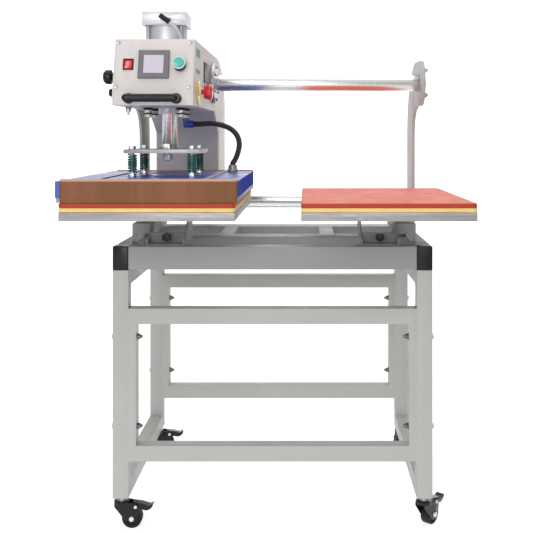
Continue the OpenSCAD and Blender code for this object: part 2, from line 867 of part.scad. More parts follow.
module insulation() {
    color([0.9, 0.88, 0.8]) difference() {
        block([cx - cover_w / 2 + 6, platen_y - cover_d / 2 + 6, 896],
              [cx + cover_w / 2 - 6, platen_y + cover_d / 2 - 6, cover_top - 2]);
        for (x = [-1, 1], y = [-1, 1])
            translate([cx + x * spring_x, cyl_y + y * spring_y, 890]) cylinder(h = 30, r = 6);
        translate([gland_pos[0], gland_pos[1], 890]) cylinder(h = 30, r = 9);
    }
}

// Folded sheet cover over the heating platen, open below
module heat_cover() {
    wall = 1.5;
    color(cover_blue) difference() {
        block([cx - cover_w / 2, platen_y - cover_d / 2, head_z + 11],
              [cx + cover_w / 2, platen_y + cover_d / 2, cover_top]);
        block([cx - cover_w / 2 + wall, platen_y - cover_d / 2 + wall, head_z + 10],
              [cx + cover_w / 2 - wall, platen_y + cover_d / 2 - wall, cover_top - wall]);
        for (x = [-1, 1], y = [-1, 1])
            translate([cx + x * spring_x, cyl_y + y * spring_y, 900]) cylinder(h = 20, r = 6);
        translate([gland_pos[0], gland_pos[1], 900]) cylinder(h = 20, r = 9);
    }
}

// Edge strips that hold the sheet, and the gland of the conduit
module cover_trim() {
    color(bright_metal) {
        for (x = [-127, 127])
            block([cx + x - 6, platen_y - cover_d / 2 + 12, cover_top],
                  [cx + x + 6, platen_y + cover_d / 2 - 12, cover_top + 3]);
        translate([gland_pos[0], gland_pos[1], cover_top]) difference() {
            union() {
                cylinder(h = 8, r = 15);
                cylinder(h = 20, r = 12.5);
            }
            translate([0, 0, -1]) cylinder(h = 22, r = 8.6);
        }
    }
}

// Non-stick sheet wrapped under the heated platen and up its front and back
module ptfe_sheet() {
    front = platen_y - cover_d / 2 - sheet_gap;
    back = platen_y + cover_d / 2 + sheet_gap;
    left = cx + sheet_x - sheet_w / 2;
    right = left + sheet_w;
    color([0.5, 0.33, 0.21]) {
        block([left, front, head_z - sheet_gap], [right, back, head_z]);
        block([left, front, head_z - sheet_gap], [right, front + sheet_gap, cover_top + 6]);
        block([left, back - sheet_gap, head_z - sheet_gap], [right, back, cover_top + 3]);
    }
}

// ---------- casters ----------

trail = 28;
pivot = [38, 56];
fork_gap = 12.5;
head_low = 60;
head_top = 69;

// Fork in its own frame: x is the direction in which the wheel trails
module fork() {
    difference() {
        union() {
            translate([0, 0, head_low]) cylinder(h = head_top - head_low, r = 20, $fn = 64);
            block([-14, -fork_gap - 2.5, head_low], [16, fork_gap + 2.5, head_top - 2]);
            for (y = [-fork_gap - 2.5, fork_gap]) translate([0, y + 2.5, 0]) rotate([90, 0, 0]) linear_extrude(2.5) {
                polygon([
                    [-17, 56], [-17, head_top - 2], [18, head_top - 2], [42, 62], [49, 54], [50, 42],
                    [41, 19], [33, 14], [22, 14], [12, 20]
                ]);
                translate([trail, wheel_r]) circle(r = 12);
            }
        }
        translate([0, 0, head_low - 5]) cylinder(h = 20, r = 5.05);
    }
    rod_y(trail, -fork_gap - 5, wheel_r, 4, 2 * fork_gap + 10);
    rod_y(pivot[0], -fork_gap - 4, pivot[1], 2.5, 2 * fork_gap + 8);
    for (s = [-1, 1]) rod_y(trail, s > 0 ? fork_gap + 2.5 : -fork_gap - 7, wheel_r, 6, 4.5);
    for (s = [-1, 1]) rod_y(pivot[0], s > 0 ? fork_gap + 2.5 : -fork_gap - 5, pivot[1], 4, 2.5);
}

module wheel() {
    difference() {
        rod_y(trail, -11, wheel_r, wheel_r, 22, $fn = 96);
        rod_y(trail, -12, wheel_r, 4.05, 24);
        for (y = [-12, 8]) translate([trail, y, wheel_r]) rotate([-90, 0, 0]) difference() {
            cylinder(h = 4, r = 19);
            translate([0, 0, -1]) cylinder(h = 6, r = 8);
        }
    }
}

// Brake pedal: a wedge on its pivot with a turned-up toe
module pedal() {
    difference() {
        union() {
            rod_y(pivot[0], -11.8, pivot[1], 4.5, 23.6);
            translate([0, 11.5, 0]) rotate([90, 0, 0]) linear_extrude(23)
                polygon([[30, 56], [30, 66], [53, 63], [71, 57.5], [79, 60], [83, 61.5],
                         [81, 55], [74, 48.5], [66, 45.5], [48, 49], [44, 52.6]]);
        }
        rod_y(pivot[0], -13, pivot[1], 2.55, 26);
    }
}

// Places a caster piece under corner i: 0 front left, 1 front right, 2 back left, 3 back right
module at_caster(i) {
    x = i % 2 == 0 ? -leg_x : leg_x;
    y = i < 2 ? leg_front_y : leg_back_y;
    translate([x, y, 0]) rotate([0, 0, caster_dirs[i]]) children();
}

side_frames();
ladder_frames();
stand_fasteners();
table_frame();
corner_caps();
left_post();
right_post();
post_feet();
rail_flanges();
upper_rail();
lower_rail();
table_brackets();
left_platen();
left_foam();
left_pad();
right_platen();
right_foam();
right_pad();
left_lock_knob();
right_lock_knob();
side_plates();
top_cover();
under_cover();
front_panel();
rail_bushes();
cylinder_barrel();
cylinder_caps();
carriage_fasteners();
air_fittings();
air_tube();
touch_screen();
switch_bodies();
pull_handle();
control_gear();
conduit();
power_rocker();
start_button();
stop_button();
regulator_knob();
press_rods();
pressure_plate();
springs();
press_fasteners();
heat_platen();
insulation();
heat_cover();
cover_trim();
ptfe_sheet();
color(black_plastic) at_caster(0) fork();  // fork_front_left
color(black_plastic) at_caster(1) fork();  // fork_front_right
color(black_plastic) at_caster(2) fork();  // fork_back_left
color(black_plastic) at_caster(3) fork();  // fork_back_right
color(black_plastic) at_caster(0) wheel();  // wheel_front_left
color(black_plastic) at_caster(1) wheel();  // wheel_front_right
color(black_plastic) at_caster(2) wheel();  // wheel_back_left
color(black_plastic) at_caster(3) wheel();  // wheel_back_right
color(black_plastic) at_caster(0) pedal();  // pedal_front_left
color(black_plastic) at_caster(1) pedal();  // pedal_front_right
color(black_plastic) at_caster(2) pedal();  // pedal_back_left
color(black_plastic) at_caster(3) pedal();  // pedal_back_right
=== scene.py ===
"""Looks of the double-station heat press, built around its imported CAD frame."""
import json
import math
import random

import bmesh
import bpy
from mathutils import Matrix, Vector


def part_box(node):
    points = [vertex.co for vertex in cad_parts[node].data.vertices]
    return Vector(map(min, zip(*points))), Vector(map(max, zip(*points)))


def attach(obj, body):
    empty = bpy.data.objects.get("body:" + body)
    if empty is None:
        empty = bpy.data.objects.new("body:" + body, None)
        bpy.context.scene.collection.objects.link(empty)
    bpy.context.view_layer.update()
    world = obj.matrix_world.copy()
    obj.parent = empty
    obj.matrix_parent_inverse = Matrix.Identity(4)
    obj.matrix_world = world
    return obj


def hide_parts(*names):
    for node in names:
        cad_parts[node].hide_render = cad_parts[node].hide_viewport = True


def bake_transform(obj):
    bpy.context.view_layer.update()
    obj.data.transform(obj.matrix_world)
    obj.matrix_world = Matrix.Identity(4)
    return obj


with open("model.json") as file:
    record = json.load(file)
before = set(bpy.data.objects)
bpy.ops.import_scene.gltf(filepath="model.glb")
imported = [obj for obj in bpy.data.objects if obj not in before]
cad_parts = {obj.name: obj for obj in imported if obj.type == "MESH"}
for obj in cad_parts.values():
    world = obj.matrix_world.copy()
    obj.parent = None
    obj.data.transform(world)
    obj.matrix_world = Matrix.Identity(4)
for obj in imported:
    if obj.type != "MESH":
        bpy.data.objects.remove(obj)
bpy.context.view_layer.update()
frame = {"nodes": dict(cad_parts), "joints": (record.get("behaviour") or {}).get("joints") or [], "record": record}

NODES = frame["nodes"]
JOINTS = {j["name"]: j for j in frame["joints"]}
MM = 0.001
CORNERS = ("front_left", "front_right", "back_left", "back_right")


# ---------- camera ----------

# Fitted to the photo
CAMERA_AT = (0.0852, -2.45, 1.0165)
CAMERA_LENS = 59.64
CAMERA_SHIFT = (-0.0732, -0.244)
# Per metre in front of that camera: how far the middle of its view moves left, and half the view's width
VIEW_LEAN = 0.0442
VIEW_HALF = 0.302


def make_camera():
    """Chest height, in front of the gap between the stations, looking straight at the rails."""
    data = bpy.data.cameras.new("camera")
    data.sensor_width = 36
    data.lens = CAMERA_LENS
    data.shift_x, data.shift_y = CAMERA_SHIFT
    cam = bpy.data.objects.new("camera", data)
    cam.location = CAMERA_AT
    cam.rotation_euler = (math.radians(90), 0, 0)
    bpy.context.scene.collection.objects.link(cam)
    bpy.context.scene.camera = cam


make_camera()


# ---------- mesh helpers ----------

def add_object(name, mesh):
    obj = bpy.data.objects.new(name, mesh)
    bpy.context.scene.collection.objects.link(obj)
    return obj


def object_from(name, bm, smooth=True):
    """Turns a bmesh into an object and shades it."""
    bmesh.ops.recalc_face_normals(bm, faces=bm.faces)
    mesh = bpy.data.meshes.new(name)
    bm.to_mesh(mesh)
    bm.free()
    if smooth:
        mesh.shade_smooth()
    return add_object(name, mesh)


def frames_along(points):
    """Heading and two side vectors at each point of a line, without twist."""
    points = [Vector(p) for p in points]
    last = len(points) - 1
    out = []
    side = None
    for i, p in enumerate(points):
        heading = (points[min(i + 1, last)] - points[max(i - 1, 0)]).normalized()
        if side is None:
            side = heading.cross(Vector((0, 1, 0)))
            if side.length < 0.1:
                side = heading.cross(Vector((1, 0, 0)))
        side = (side - heading * side.dot(heading)).normalized()
        out.append((p, heading, side, heading.cross(side)))
    return out


def smooth_route(points, step):
    """Even points, step apart, on a Catmull-Rom line through the given ones."""
    per_span = 24
    pts = [Vector(p) for p in points]
    pts = [2 * pts[0] - pts[1]] + pts + [2 * pts[-1] - pts[-2]]
    dense = []
    for a, b, c, d in zip(pts, pts[1:], pts[2:], pts[3:]):
        for k in range(per_span):
            t = k / per_span
            dense.append(0.5 * ((2 * b) + (c - a) * t + (2 * a - 5 * b + 4 * c - d) * t * t
                                + (3 * b - a - 3 * c + d) * t ** 3))
    dense.append(pts[-2])
    out = [dense[0]]
    left = step
    for a, b in zip(dense, dense[1:]):
        run = (b - a).length
        at = left
        while at <= run:
            out.append(a + (b - a) * (at / run))
            at += step
        left = at - run
    if (out[-1] - dense[-1]).length > step * 0.3:
        out.append(dense[-1])
    else:
        out[-1] = dense[-1]
    return out


def sweep(bm, points, radius, sides, uv=None):
    """Closed round tube along points. radius is a number or a function of (share of length, angle)."""
    rings = []
    stations = frames_along(points)
    for i, (p, _, u, v) in enumerate(stations):
        ring = []
        for k in range(sides):
            a = 2 * math.pi * k / sides
            r = radius(i / (len(stations) - 1), a) if callable(radius) else radius
            ring.append(bm.verts.new(p + u * (r * math.cos(a)) + v * (r * math.sin(a))))
        rings.append(ring)
    for i, (low, high) in enumerate(zip(rings, rings[1:])):
        for k in range(sides):
            j = (k + 1) % sides
            face = bm.faces.new((low[k], low[j], high[j], high[k]))
            if uv is not None:
                for loop, (du, dv) in zip(face.loops, ((0, 0), (0, 1), (1, 1), (1, 0))):
                    loop[uv].uv = (i + du, (k + dv) / sides)
    bm.faces.new(rings[0])
    bm.faces.new(rings[-1])


def add_modifier(obj, kind, name, **values):
    mod = obj.modifiers.new(name, kind)
    for key, value in values.items():
        setattr(mod, key, value)
    return mod


# ---------- cords ----------

def conduit_sleeve():
    """Ribbed, braided sleeve from the elbow under the arm to the gland on the cover."""
    route = [(-240, 115, 1052), (-222, 115, 1052), (-205, 114.5, 1053.5), (-182, 113, 1053.5),
             (-152, 110, 1047.5), (-128, 106, 1036), (-112, 101, 1018), (-106, 96, 998.5), (-107, 91, 979.5),
             (-112.5, 87, 960), (-118, 83.5, 948), (-122, 81, 941.5), (-123.5, 80, 937.5), (-123.5, 80, 925)]
    route = [Vector(p) * MM for p in route]
    step = 0.5 * MM
    pitch = 3.4 * MM
    core = 7.75
    rib = 0.55
    points = smooth_route(route, step)

    def radius(share, angle):
        run = share * (len(points) - 1) * step
        return (core + rib * math.sin(2 * math.pi * run / pitch + angle)) * MM

    bm = bmesh.new()
    uv = bm.loops.layers.uv.new("braid")
    sweep(bm, points, radius, 48, uv=uv)
    piece = object_from("conduit_sleeve", bm)
    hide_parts("conduit")
    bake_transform(piece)
    return piece


def air_hose():
    """Clear tube from the cylinder's elbow into the box."""
    route = [(-258, -222, 1305), (-250, -222, 1299), (-241, -219, 1288), (-233, -213, 1273),
             (-228, -207, 1256), (-227, -203, 1240), (-227, -202, 1225)]
    points = smooth_route([Vector(p) * MM for p in route], 2 * MM)
    bm = bmesh.new()
    sweep(bm, points, 4 * MM, 24)
    piece = object_from("air_hose", bm)
    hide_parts("air_tube")
    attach(piece, "carriage")
    return piece


CONDUIT = conduit_sleeve()
AIR_HOSE = air_hose()


# ---------- materials ----------

class Finish:
    """A procedural material that is built up in object space, step by step."""

    def __init__(self, name, colour, rough, metal=0.0, **sockets):
        self.mat = bpy.data.materials.new(name)
        self.mat.use_nodes = True
        self.tree = self.mat.node_tree
        self.bsdf = self.tree.nodes["Principled BSDF"]
        self.bsdf.inputs["Base Color"].default_value = (*colour, 1)
        self.bsdf.inputs["Roughness"].default_value = rough
        self.bsdf.inputs["Metallic"].default_value = metal
        for key, value in sockets.items():
            self.bsdf.inputs[key.replace("_", " ")].default_value = value
        self.place = self.add("ShaderNodeTexCoord").outputs["Object"]
        self.colour = self.rgb(colour)
        self.height = None

    def add(self, kind, **values):
        node = self.tree.nodes.new(kind)
        for key, value in values.items():
            setattr(node, key, value)
        return node

    def link(self, out, into):
        self.tree.links.new(out, into)

    def rgb(self, colour):
        node = self.add("ShaderNodeRGB")
        node.outputs[0].default_value = (*colour, 1)
        return node.outputs[0]

    def stretched(self, scale):
        node = self.add("ShaderNodeMapping")
        node.inputs["Scale"].default_value = scale
        self.link(self.place, node.inputs["Vector"])
        return node.outputs["Vector"]

    def noise(self, scale, detail=4.0, rough=0.55, stretch=(1, 1, 1), distortion=0.0):
        node = self.add("ShaderNodeTexNoise")
        node.inputs["Scale"].default_value = scale
        node.inputs["Detail"].default_value = detail
        node.inputs["Roughness"].default_value = rough
        node.inputs["Distortion"].default_value = distortion
        self.link(self.stretched(stretch), node.inputs["Vector"])
        return node.outputs["Fac"]

    def cells(self, scale, feature="F1", stretch=(1, 1, 1)):
        node = self.add("ShaderNodeTexVoronoi", feature=feature)
        node.inputs["Scale"].default_value = scale
        self.link(self.stretched(stretch), node.inputs["Vector"])
        return node.outputs["Distance"]

    def wave(self, scale, direction="X", distortion=0.0):
        node = self.add("ShaderNodeTexWave", bands_direction=direction)
        node.inputs["Scale"].default_value = scale
        node.inputs["Distortion"].default_value = distortion
        self.link(self.place, node.inputs["Vector"])
        return node.outputs["Fac"]

    def span(self, value, low, high, to_low=0.0, to_high=1.0):
        """Maps a range of a value onto another, clamped."""
        node = self.add("ShaderNodeMapRange")
        for key, number in (("From Min", low), ("From Max", high), ("To Min", to_low), ("To Max", to_high)):
            node.inputs[key].default_value = number
        self.link(value, node.inputs["Value"])
        return node.outputs["Result"]

    def math(self, operation, a, b):
        node = self.add("ShaderNodeMath", operation=operation)
        for socket, value in zip(node.inputs, (a, b)):
            if isinstance(value, (int, float)):
                socket.default_value = value
            else:
                self.link(value, socket)
        return node.outputs[0]

    def axis(self, which):
        node = self.add("ShaderNodeSeparateXYZ")
        self.link(self.place, node.inputs[0])
        return node.outputs[which]

    def tint(self, colour, amount):
        """Mixes another colour in, by a share that a texture gives."""
        node = self.add("ShaderNodeMix", data_type="RGBA")
        self.link(amount, node.inputs["Factor"])
        self.link(self.colour, node.inputs["A"])
        node.inputs["B"].default_value = (*colour, 1)
        self.colour = node.outputs["Result"]
        return self

    def rough(self, value):
        self.link(value, self.bsdf.inputs["Roughness"])
        return self

    def bump(self, height, distance, strength=1.0):
        node = self.add("ShaderNodeBump")
        node.inputs["Distance"].default_value = distance
        node.inputs["Strength"].default_value = strength
        self.link(height, node.inputs["Height"])
        if self.height is not None:
            self.link(self.height, node.inputs["Normal"])
        self.height = node.outputs["Normal"]
        return self

    def done(self):
        self.link(self.colour, self.bsdf.inputs["Base Color"])
        if self.height is not None:
            self.link(self.height, self.bsdf.inputs["Normal"])
        return self.mat


def powder_coat(name, colour, dark, rough=0.42):
    """Satin powder coat: orange peel, cloudy tone, a little handling dirt."""
    f = Finish(name, colour, rough, Specular_IOR_Level=0.12)
    f.tint(dark, f.span(f.noise(5, 5), 0.45, 0.8, 0, 0.35))
    f.tint([c * 0.82 for c in colour], f.span(f.noise(60, 6, 0.7), 0.58, 0.8, 0, 0.3))
    f.rough(f.span(f.noise(18, 4), 0.3, 0.7, rough - 0.07, rough + 0.12))
    f.bump(f.noise(900, 2), 0.00012, 0.5)
    return f.done()


def box_coat():
    """The control box's light coat, with faint rust-coloured stains and rubbed spots."""
    f = Finish("box_coat", (0.7, 0.66, 0.645), 0.45, Specular_IOR_Level=0.1)
    f.tint((0.6, 0.565, 0.55), f.span(f.noise(9, 5), 0.42, 0.75, 0, 0.5))
    stain = f.math("MULTIPLY", f.span(f.noise(26, 6, 0.7), 0.56, 0.72), f.span(f.noise(7, 2), 0.45, 0.6))
    f.tint((0.5, 0.36, 0.2), f.math("MULTIPLY", stain, 0.55))
    f.rough(f.span(f.noise(20, 4), 0.3, 0.7, 0.34, 0.55))
    f.bump(f.noise(850, 2), 0.00014, 0.55)
    return f.done()


def plastic(name, colour, rough=0.45, grain=700, depth=0.00008):
    """Moulded plastic: fine spark-eroded grain, slight shine where hands rub it."""
    f = Finish(name, colour, rough, Specular_IOR_Level=0.3)
    f.tint([c * 1.6 + 0.004 for c in colour], f.span(f.noise(40, 5), 0.5, 0.85, 0, 0.4))
    f.rough(f.span(f.noise(30, 3), 0.3, 0.7, rough - 0.1, rough + 0.12))
    f.bump(f.noise(grain, 2), depth, 0.6)
    return f.done()


def brushed(name, colour, rough, stretch, depth=0.00006, dark=None, metal=1.0):
    """Machined or drawn metal with fine lines along one axis."""
    f = Finish(name, colour, rough, metal)
    lines = f.noise(260, 3, 0.6, stretch)
    f.tint(dark or [c * 0.72 for c in colour], f.span(f.noise(11, 5), 0.4, 0.75, 0, 0.5))
    f.tint([min(1, c * 1.12) for c in colour], f.span(lines, 0.45, 0.75, 0, 0.5))
    f.rough(f.span(lines, 0.3, 0.7, rough - 0.08, rough + 0.14))
    f.bump(lines, depth, 0.5)
    return f.done()


def chrome():
    """Hard chrome bar: mirror-like with faint turning marks and wipe smears."""
    f = Finish("chrome", (0.86, 0.86, 0.87), 0.24, 1.0)
    f.tint((0.66, 0.67, 0.7), f.span(f.noise(14, 4, 0.6, (0.2, 1, 1)), 0.45, 0.7, 0, 0.35))
    f.rough(f.span(f.noise(400, 2, 0.5, (6, 0.4, 0.4)), 0.3, 0.7, 0.2, 0.32))
    f.bump(f.noise(700, 2, 0.5, (4, 0.1, 0.1)), 0.00002, 0.3)
    return f.done()


def zinc():
    """Zinc-plated steel with a faint yellow-blue cast."""
    f = Finish("zinc", (0.5, 0.5, 0.5), 0.32, 0.9)
    f.tint((0.55, 0.52, 0.44), f.span(f.noise(90, 4), 0.48, 0.7, 0, 0.5))
    f.tint((0.16, 0.15, 0.14), f.span(f.noise(160, 5, 0.7), 0.62, 0.78, 0, 0.5))
    f.rough(f.span(f.noise(120, 4), 0.3, 0.7, 0.22, 0.5))
    f.bump(f.noise(500, 3), 0.00008, 0.5)
    return f.done()


def cast_plate():
    """Cast aluminium plate with milled edges: streaks along the edge, small pits."""
    f = Finish("cast_plate", (0.38, 0.36, 0.365), 0.5, 0.35)
    streak = f.noise(34, 6, 0.65, (0.18, 0.18, 3.5))
    f.tint((0.28, 0.262, 0.27), f.span(streak, 0.42, 0.72, 0, 0.75))
    f.tint((0.6, 0.58, 0.59), f.span(f.noise(110, 5, 0.6, (0.25, 0.25, 2.5)), 0.52, 0.72, 0, 0.6))
    f.rough(f.span(streak, 0.3, 0.7, 0.34, 0.6))
    f.bump(f.noise(420, 4, 0.6, (0.2, 0.2, 2)), 0.00012, 0.6)
    f.bump(f.cells(330), 0.00006, 0.3)
    return f.done()


def silicone():
    """Red silicone rubber: matt, dusty, with a very fine cloth imprint and painted shade on the sides below the
    top.
    """
    f = Finish("silicone", (0.66, 0.12, 0.06), 0.5, Specular_IOR_Level=0.25, Sheen_Weight=0.05)
    f.tint((0.74, 0.17, 0.09), f.span(f.noise(14, 6), 0.4, 0.75, 0, 0.6))
    f.tint((0.5, 0.07, 0.035), f.span(f.noise(120, 4), 0.55, 0.8, 0, 0.4))
    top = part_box("right_pad")[1].z
    # Painted shade: the sides below the top are darkened.
    f.tint((0.4, 0.045, 0.022), f.span(f.axis("Z"), top - 2.2 * MM, top - 0.6 * MM, 0.92, 0))
    f.rough(f.span(f.noise(25, 4), 0.3, 0.7, 0.42, 0.62))
    f.bump(f.math("ADD", f.wave(420, "X"), f.wave(420, "Y")), 0.00004, 0.3)
    f.bump(f.noise(300, 3), 0.00006, 0.4)
    return f.done()


def foam():
    """Yellow closed-cell sponge: open pores on the cut edge, with painted shade in their hollows."""
    f = Finish("foam", (0.86, 0.6, 0.2), 0.85, Sheen_Weight=0.15)
    pores = f.cells(520)
    # Painted shade: the pores' hollows are darkened.
    f.tint((0.62, 0.38, 0.09), f.span(pores, 0.05, 0.5, 0.55, 0))
    f.tint((0.92, 0.72, 0.36), f.span(f.noise(20, 5), 0.45, 0.75, 0, 0.6))
    f.bump(pores, 0.0004, 0.7)
    f.bump(f.noise(900, 3), 0.0001, 0.5)
    return f.done()


def coated_cloth():
    """Brown non-stick glass cloth: fine weave under a waxy coat, streaked, with a painted highlight along its top
    fold.
    """
    f = Finish("coated_cloth", (0.185, 0.077, 0.028), 0.45, Specular_IOR_Level=0.2)
    weave = f.math("MULTIPLY", f.wave(430, "X", 0.4), f.wave(430, "Z", 0.4))
    f.tint((0.27, 0.12, 0.052), f.span(weave, 0.2, 0.9, 0, 0.5))
    f.tint((0.27, 0.1, 0.055), f.span(f.noise(13, 4, 0.6, (1, 0.05, 0.05)), 0.45, 0.62, 0, 0.7))
    f.tint((0.15, 0.065, 0.03), f.span(f.noise(40, 5, 0.6, (1, 0.2, 0.2)), 0.56, 0.75, 0, 0.45))
    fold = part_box("ptfe_sheet")[1].z
    # Painted highlight: the cloth is paler along its top fold.
    f.tint((0.6, 0.36, 0.25), f.span(f.axis("Z"), fold - 7.5 * MM, fold - 4.5 * MM, 0, 0.9))
    f.rough(f.span(f.noise(30, 4), 0.3, 0.7, 0.36, 0.55))
    f.bump(weave, 0.00006, 0.5)
    return f.done()


def blue_coat(name, specular):
    """Satin blue paint on sheet steel, paler in streaks from left to right."""
    f = Finish(name, (0.055, 0.085, 0.42), 0.32, Specular_IOR_Level=specular)
    f.tint((0.1, 0.14, 0.52), f.span(f.noise(8, 5), 0.4, 0.75, 0, 0.6))
    f.tint((0.2, 0.23, 0.5), f.span(f.noise(60, 6, 0.7, (0.3, 1, 1)), 0.6, 0.78, 0, 0.4))
    f.rough(f.span(f.noise(16, 5), 0.3, 0.7, 0.22, 0.42))
    f.bump(f.noise(800, 2), 0.0001, 0.5)
    return f.done()


def enamel(name, colour, rough=0.22, coat=0.5):
    """Glossy enamel over steel, a little worn."""
    f = Finish(name, colour, rough, Coat_Weight=coat, Coat_Roughness=0.1, Specular_IOR_Level=0.3)
    f.tint([c * 0.5 for c in colour], f.span(f.noise(70, 5), 0.45, 0.7, 0, 0.6))
    f.tint((0.25, 0.26, 0.25), f.span(f.noise(260, 5, 0.7), 0.7, 0.8, 0, 0.5))
    f.rough(f.span(f.noise(80, 4), 0.3, 0.7, rough - 0.06, rough + 0.15))
    f.bump(f.noise(600, 2), 0.00008, 0.4)
    return f.done()


def gloss(name, colour, rough=0.18, **sockets):
    """Glossy moulded plastic with faint finger marks."""
    f = Finish(name, colour, rough, Coat_Weight=0.4, Coat_Roughness=0.08, **sockets)
    f.tint([c * 0.7 for c in colour], f.span(f.noise(90, 4), 0.5, 0.8, 0, 0.35))
    f.rough(f.span(f.noise(60, 4), 0.3, 0.7, rough - 0.05, rough + 0.12))
    f.bump(f.noise(500, 2), 0.00003, 0.3)
    return f.done()


def braid():
    """Black polyester braid: crossed bands of filaments, from the sleeve's own unwrapping."""
    f = Finish("braid", (0.012, 0.012, 0.014), 0.45, Sheen_Weight=0.2)
    uv = f.add("ShaderNodeUVMap", uv_map="braid").outputs["UV"]
    wave = f.add("ShaderNodeTexWave", bands_direction="DIAGONAL")
    wave.inputs["Scale"].default_value = 1.2
    f.link(uv, wave.inputs["Vector"])
    f.tint((0.07, 0.07, 0.075), f.span(wave.outputs["Fac"], 0.55, 0.95, 0, 0.8))
    f.tint((0.03, 0.03, 0.034), f.span(f.noise(300, 4), 0.45, 0.75, 0, 0.7))
    f.rough(f.span(f.noise(500, 3), 0.3, 0.7, 0.35, 0.6))
    f.bump(wave.outputs["Fac"], 0.00025, 0.6)
    return f.done()


def board():
    """Compressed fibre board."""
    f = Finish("fibre_board", (0.74, 0.7, 0.6), 0.9)
    f.tint((0.55, 0.5, 0.4), f.span(f.noise(160, 6), 0.45, 0.75))
    f.bump(f.noise(400, 5), 0.0004, 0.7)
    return f.done()


def screen_glass():
    """Lit touch panel behind glass: pale lilac, slightly cloudy."""
    f = Finish("screen_glass", (0.46, 0.43, 0.5), 0.22, Coat_Weight=0.6, Coat_Roughness=0.1,
               Emission_Color=(0.62, 0.58, 0.66, 1), Emission_Strength=0.22)
    f.tint((0.52, 0.49, 0.55), f.span(f.noise(24, 2), 0.35, 0.7, 0, 0.6))
    f.bump(f.noise(1500, 2), 0.00002, 0.3)
    return f.done()


def tyre_rubber():
    """Black tyre with grey scuffs."""
    f = Finish("tyre_rubber", (0.007, 0.007, 0.008), 0.45, Specular_IOR_Level=0.3)
    f.tint((0.05, 0.047, 0.043), f.span(f.noise(130, 6, 0.7), 0.58, 0.78, 0, 0.5))
    f.rough(f.span(f.noise(70, 4), 0.3, 0.7, 0.45, 0.7))
    f.bump(f.noise(420, 4), 0.00014, 0.6)
    return f.done()


def soft_tube():
    """Clear polyurethane tube with a milky cast."""
    f = Finish("soft_tube", (0.84, 0.87, 0.92), 0.12, Transmission_Weight=0.55, IOR=1.4)
    f.tint((0.7, 0.74, 0.82), f.span(f.noise(60, 3), 0.4, 0.7, 0, 0.5))
    f.bump(f.noise(200, 2), 0.00008, 0.3)
    return f.done()


MATS = {
    "stand_paint": powder_coat("stand_coat", (0.47, 0.465, 0.45), (0.39, 0.385, 0.37)),
    "table_paint": powder_coat("table_coat", (0.33, 0.33, 0.332), (0.28, 0.28, 0.285)),
    "shadow_paint": powder_coat("arm_coat", (0.5, 0.5, 0.53), (0.42, 0.42, 0.45)),
    "box_paint": box_coat(),
    "zinc_steel": zinc(),
    "black_plastic": plastic("black_plastic", (0.009, 0.009, 0.011), 0.33),
    "polished_rail": chrome(),
    "cast_aluminium": cast_plate(),
    "machined_plate": brushed("machined_plate", (0.38, 0.38, 0.385), 0.4, (0.3, 3, 3), metal=0.5),
    "yellow_foam": foam(),
    "red_silicone": silicone(),
    "anodised_aluminium": brushed("anodised", (0.7, 0.69, 0.75), 0.34, (3, 3, 0.3), dark=(0.58, 0.57, 0.63),
                                  metal=0.35),
    "nickel_fittings": brushed("nickel", (0.62, 0.62, 0.6), 0.2, (1, 1, 1)),
    "clear_tube": soft_tube(),
    "grey_bezel": plastic("grey_bezel", (0.175, 0.17, 0.18), 0.45),
    "gear_housing": brushed("gear_housing", (0.45, 0.46, 0.48), 0.4, (3, 0.3, 3)),
    "braided_sleeve": braid(),
    "red_switch": gloss("red_switch", (0.75, 0.012, 0.012), 0.16, Emission_Color=(0.9, 0.05, 0.03, 1),
                        Emission_Strength=0.12),
    "green_button": gloss("green_button", (0.06, 0.5, 0.42), 0.25),
    "red_button": gloss("red_button", (0.62, 0.02, 0.025), 0.22),
    "green_spring": enamel("spring_enamel", (0.01, 0.16, 0.115)),
    "insulation_board": board(),
    "blue_cover": blue_coat("blue_coat", 0.5),
    # Copy of the blue paint without reflection, for the cover's sides: painted shade.
    "blue_shaded_side": blue_coat("blue_shaded_side_coat", 0.0),
    "brown_sheet": coated_cloth(),
    "caster_black": enamel("caster_black", (0.005, 0.005, 0.006), 0.16, 0.1),
    "caster_wheel": tyre_rubber(),
    # Darker copy of the stand's coat: painted shade on the table brackets under the platens.
    "bracket_shade_coat": powder_coat("bracket_shade_coat", (0.3, 0.3, 0.295), (0.24, 0.24, 0.235)),
    "dark_steel": brushed("dark_steel", (0.16, 0.16, 0.17), 0.35, (1, 1, 1)),
    "bright_steel": brushed("bright_steel", (0.78, 0.78, 0.78), 0.28, (1, 1, 1), metal=0.6),
    "yellow_ring": gloss("yellow_ring", (0.85, 0.68, 0.03), 0.25),
    "black_rubber": plastic("black_rubber", (0.01, 0.01, 0.011), 0.5),
    "white_plastic": plastic("white_plastic", (0.8, 0.8, 0.8), 0.35),
    "blue_fitting": gloss("blue_fitting", (0.04, 0.07, 0.45), 0.2),
    "screen": screen_glass(),
    "green_label": plastic("green_label", (0.04, 0.25, 0.12), 0.45),
    "white_label": plastic("white_label", (0.62, 0.64, 0.62), 0.45),
}

CONDUIT.data.materials.append(MATS["braided_sleeve"])
AIR_HOSE.data.materials.append(MATS["clear_tube"])


# ---------- CAD nodes: finish and edge rounding ----------

# Width of a node's broken edges in mm
EDGE_OTHER = 0.35
EDGE = {
    "side_frames": 2.2, "ladder_frames": 1.8, "table_frame": 2.2, "corner_caps": 2.5, "left_post": 1.5,
    "right_post": 1.5, "post_feet": 1.5, "rail_flanges": 1.2, "table_brackets": 1.2, "left_platen": 0.8,
    "right_platen": 0.8, "side_plates": 0.8, "top_cover": 0.6, "under_cover": 0.6, "front_panel": 0.8,
    "rail_bushes": 1.0, "cylinder_caps": 1.5, "touch_screen": 1.5, "pressure_plate": 0.8, "heat_platen": 0.8,
    "insulation": 0.5, "heat_cover": 0.6, "cover_trim": 0.5, "control_gear": 1.5, "stop_button": 0.6,
    "regulator_knob": 1.5, "start_button": 0.6, "pull_handle": 0.8, "power_rocker": 0.5,
}


